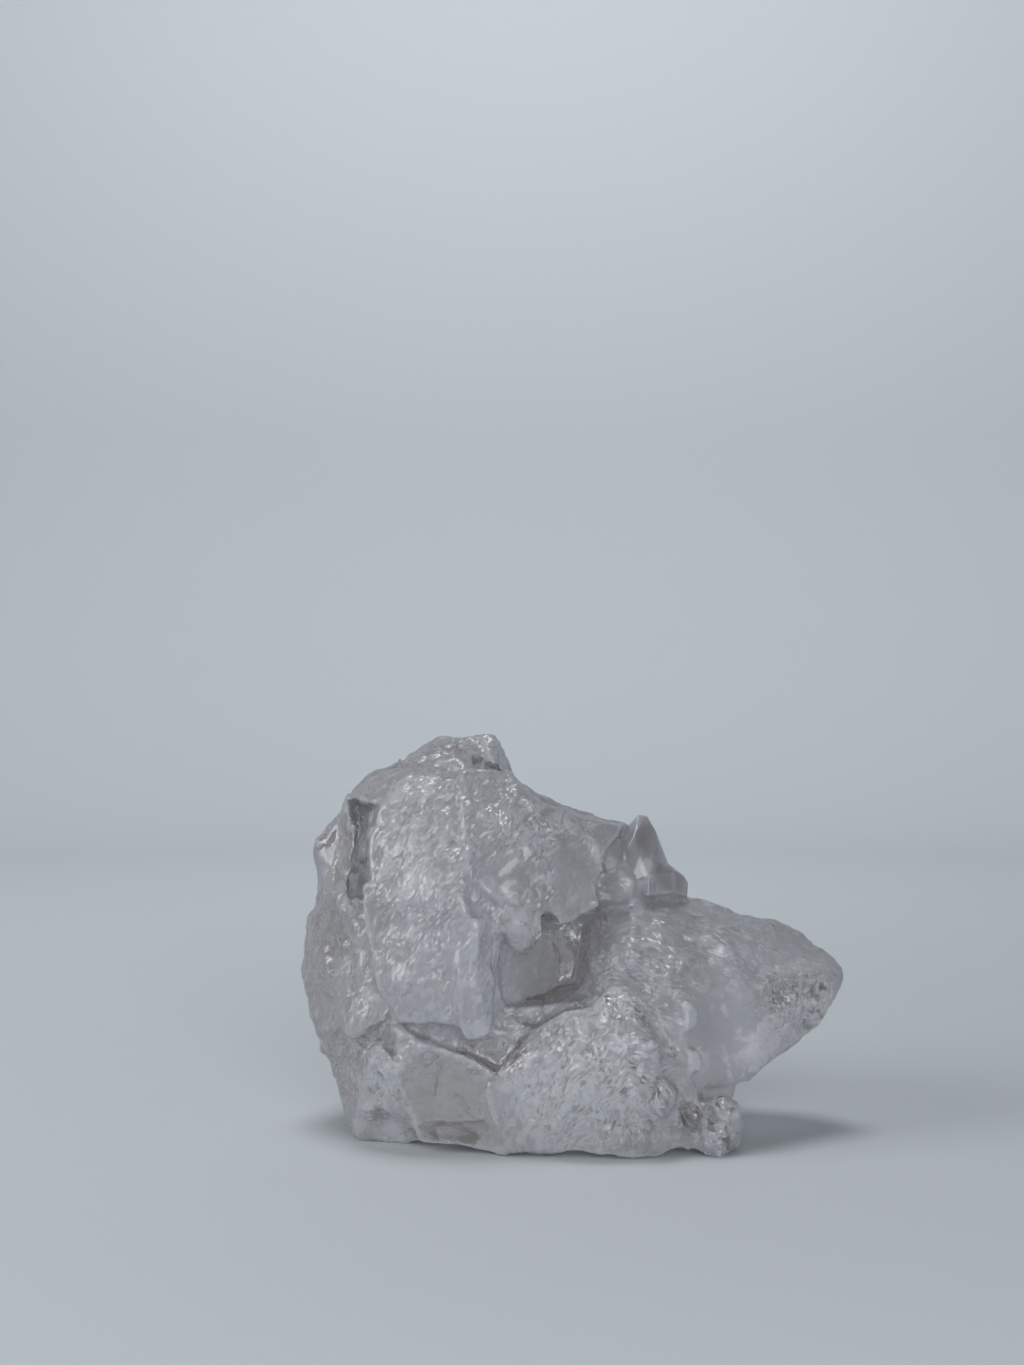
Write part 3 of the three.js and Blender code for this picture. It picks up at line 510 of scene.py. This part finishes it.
# Painted highlight: ridges that stand proud are lighter. Painted shade: cracks are darker.
colour = blend(ranged(ridge, 0.2, 1.0, 0.5), colour, WHITE)
colour = blend(ranged(ridge, -0.3, -1.5, 0.3), colour, WARM)
# Painted glints: bright streaks on the splinters and painted dark streaks between them.
colour = blend(maths(tree, "MULTIPLY", splintered_and_painted_glints, ranged(splinter_chance, 0.22, 0.4)), colour, WHITE)
colour = blend(maths(tree, "MULTIPLY", splintered_and_painted_glints, ranged(splinter_chance, 0.16, 0.06, 0.8)), colour, DARK_SHADE)
# Painted shade: the shaded faces, gap, hollow and recess turn dark brown grey.
colour = blend(attribute(tree, "painted_shade"), colour, DARK_SHADE)
tree.links.new(colour, surface.inputs["Base Color"])
gloss = maths(tree, "MAXIMUM", clear, splintered_and_painted_glints)
dullness = maths(tree, "SUBTRACT", DULL, maths(tree, "MULTIPLY", gloss, DULL - GLASSY))
tree.links.new(dullness, surface.inputs["Roughness"])

relief = maths(tree, "MULTIPLY", fleck, maths(tree, "MULTIPLY", glitter, 0.9))
relief = maths(tree, "ADD", relief, maths(tree, "MULTIPLY", chip, maths(tree, "MULTIPLY", glitter, 0.35)))
ragged = maths(tree, "MULTIPLY", splinter, maths(tree, "MULTIPLY", splintered_and_painted_glints, 1.4))
relief = maths(tree, "ADD", relief, ragged)
glints = add_node(tree, "ShaderNodeBump", Strength=1.0, Distance=1.0, Height=relief)
tree.links.new(glints.outputs[0], surface.inputs["Normal"])
tree.links.new(glints.outputs[0], surface.inputs["Coat Normal"])
stone.data.materials.clear()
stone.data.materials.append(quartz)
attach(stone, "root")
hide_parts("quartz")

# What the stone is shown on: one sheet of pale card, flat under the stone and swept up all
# round, so that its far side has no edge or corner.
FLOOR_REACH = 0.42
SWEEP = 0.16
WALL_TOP = 0.45
SIDES = 96
profile = [(FLOOR_REACH * i / 4, 0.0) for i in range(1, 5)]
for step in range(1, 13):
    turn = math.radians(90 * step / 12)
    profile.append((FLOOR_REACH + SWEEP * math.sin(turn), SWEEP * (1 - math.cos(turn))))
profile.append((FLOOR_REACH + SWEEP, WALL_TOP))
points = [(0, 0, 0)]
faces = []
ring = len(profile)
for i in range(SIDES):
    turn = 2 * math.pi * i / SIDES
    points += [(r * math.cos(turn), r * math.sin(turn), z) for r, z in profile]
    here = 1 + i * ring
    there = 1 + (i + 1) % SIDES * ring
    faces.append((0, here, there))
    faces += [(here + k, here + k + 1, there + k + 1, there + k) for k in range(ring - 1)]
card_mesh = bpy.data.meshes.new("card")
card_mesh.from_pydata(points, [], faces)
card = bpy.data.objects.new("card", card_mesh)
bpy.context.collection.objects.link(card)
for face in card_mesh.polygons:
    face.use_smooth = True
card_look = bpy.data.materials.new("pale_card")
card_look.use_nodes = True
card_shader = card_look.node_tree.nodes["Principled BSDF"]
card_shader.inputs["Base Color"].default_value = (0.475, 0.51, 0.535, 1)
card_shader.inputs["Roughness"].default_value = 0.9
card_mesh.materials.append(card_look)

# Plain soft light from the left, from above, from in front and on to the card behind, and the
# camera: level, with a 52 mm lens, at the photograph's place.
world = bpy.data.worlds.new("room")
bpy.context.scene.world = world
world.use_nodes = True
world.node_tree.nodes["Background"].inputs["Color"].default_value = (0.88, 0.93, 1.0, 1)
world.node_tree.nodes["Background"].inputs["Strength"].default_value = 0.1


def soft_light(name, place, aim, size, power, colour):
    """A square lamp of this size in metres and power in watts, turned towards its aim."""
    lamp = bpy.data.lights.new(name, "AREA")
    lamp.shape = "SQUARE"
    lamp.size = size
    lamp.energy = power
    lamp.color = colour
    holder = bpy.data.objects.new(name, lamp)
    holder.location = place
    holder.rotation_euler = (Vector(aim) - Vector(place)).to_track_quat("-Z", "Y").to_euler()
    bpy.context.collection.objects.link(holder)


soft_light("window", (-0.42, -0.14, 0.22), (0, 0, 0.02), 0.26, 1.1, (1.0, 0.99, 0.98))
soft_light("skylight", (-0.06, 0.04, 0.78), (0, 0, 0.02), 0.25, 2.25, (0.97, 0.98, 1.0))
soft_light("front", (0.06, -0.5, 0.2), (0, 0, 0.03), 0.25, 1.1, (1.0, 1.0, 1.0))
soft_light("wall", (0, 0.28, 0.42), (0, 0.6, 0.16), 0.25, 0.75, (0.97, 0.98, 1.0))

lens = bpy.data.cameras.new("camera")
lens.lens = 52
lens.sensor_width = 36
lens.clip_start = 0.01
lens.clip_end = 10
camera = bpy.data.objects.new("camera", lens)
camera.location = EYE
camera.rotation_euler = (math.pi / 2, 0, 0)
bpy.context.collection.objects.link(camera)
scene = bpy.context.scene
scene.camera = camera
scene.cycles.use_denoising = True
scene.cycles.max_bounces = 8
scene.cycles.diffuse_bounces = 2
scene.cycles.transmission_bounces = 8
scene.view_settings.view_transform = "Standard"
